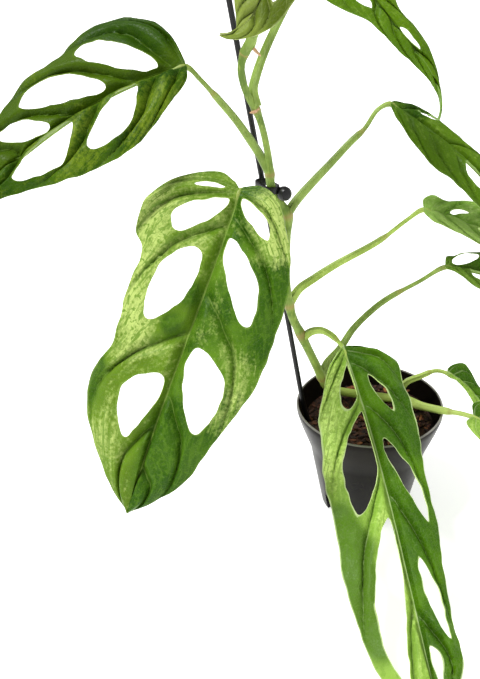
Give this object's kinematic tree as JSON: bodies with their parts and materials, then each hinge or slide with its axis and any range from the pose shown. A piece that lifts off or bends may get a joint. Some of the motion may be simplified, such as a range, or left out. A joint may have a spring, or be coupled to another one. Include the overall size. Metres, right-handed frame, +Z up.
{
  "type": "potted monstera adansonii plant",
  "caption": "Young climbing house plant with holed, drooping leaves on long stalks, its vine clipped to a thin stake in a round tapered nursery pot.",
  "frame": {"origin": "middle of the pot's flat underside, where it stands", "axes": "+Z up along the pot's axis; -Y towards the side that the plant is seen from, the way the lowest long leaf reaches; +X to the viewer's right"},
  "size_m": [0.4782, 0.3436, 0.5016],
  "materials": {
    "pot": "satin black moulded plastic",
    "soil": "coarse dark bark mix",
    "stake": "smooth black",
    "stem": "smooth green stalk, satin",
    "leaf": "living leaf, satin sheen, with sunken veins"
  },
  "bodies": {
    "root": {"pot": "pot", "soil": "soil", "stake": "stake", "plant_clip": "stake", "vine_stem": "stem", "leaf_front_left": "leaf", "leaf_upper_left": "leaf", "leaf_long_low": "leaf", "leaf_right_high": "leaf", "leaf_right_middle": "leaf", "leaf_right_low": "leaf", "leaf_rim_back": "leaf", "leaf_rim_front": "leaf", "leaf_top_right": "leaf", "leaf_young_top": "leaf", "leaf_top_back": "leaf"}
  },
  "joints": []
}
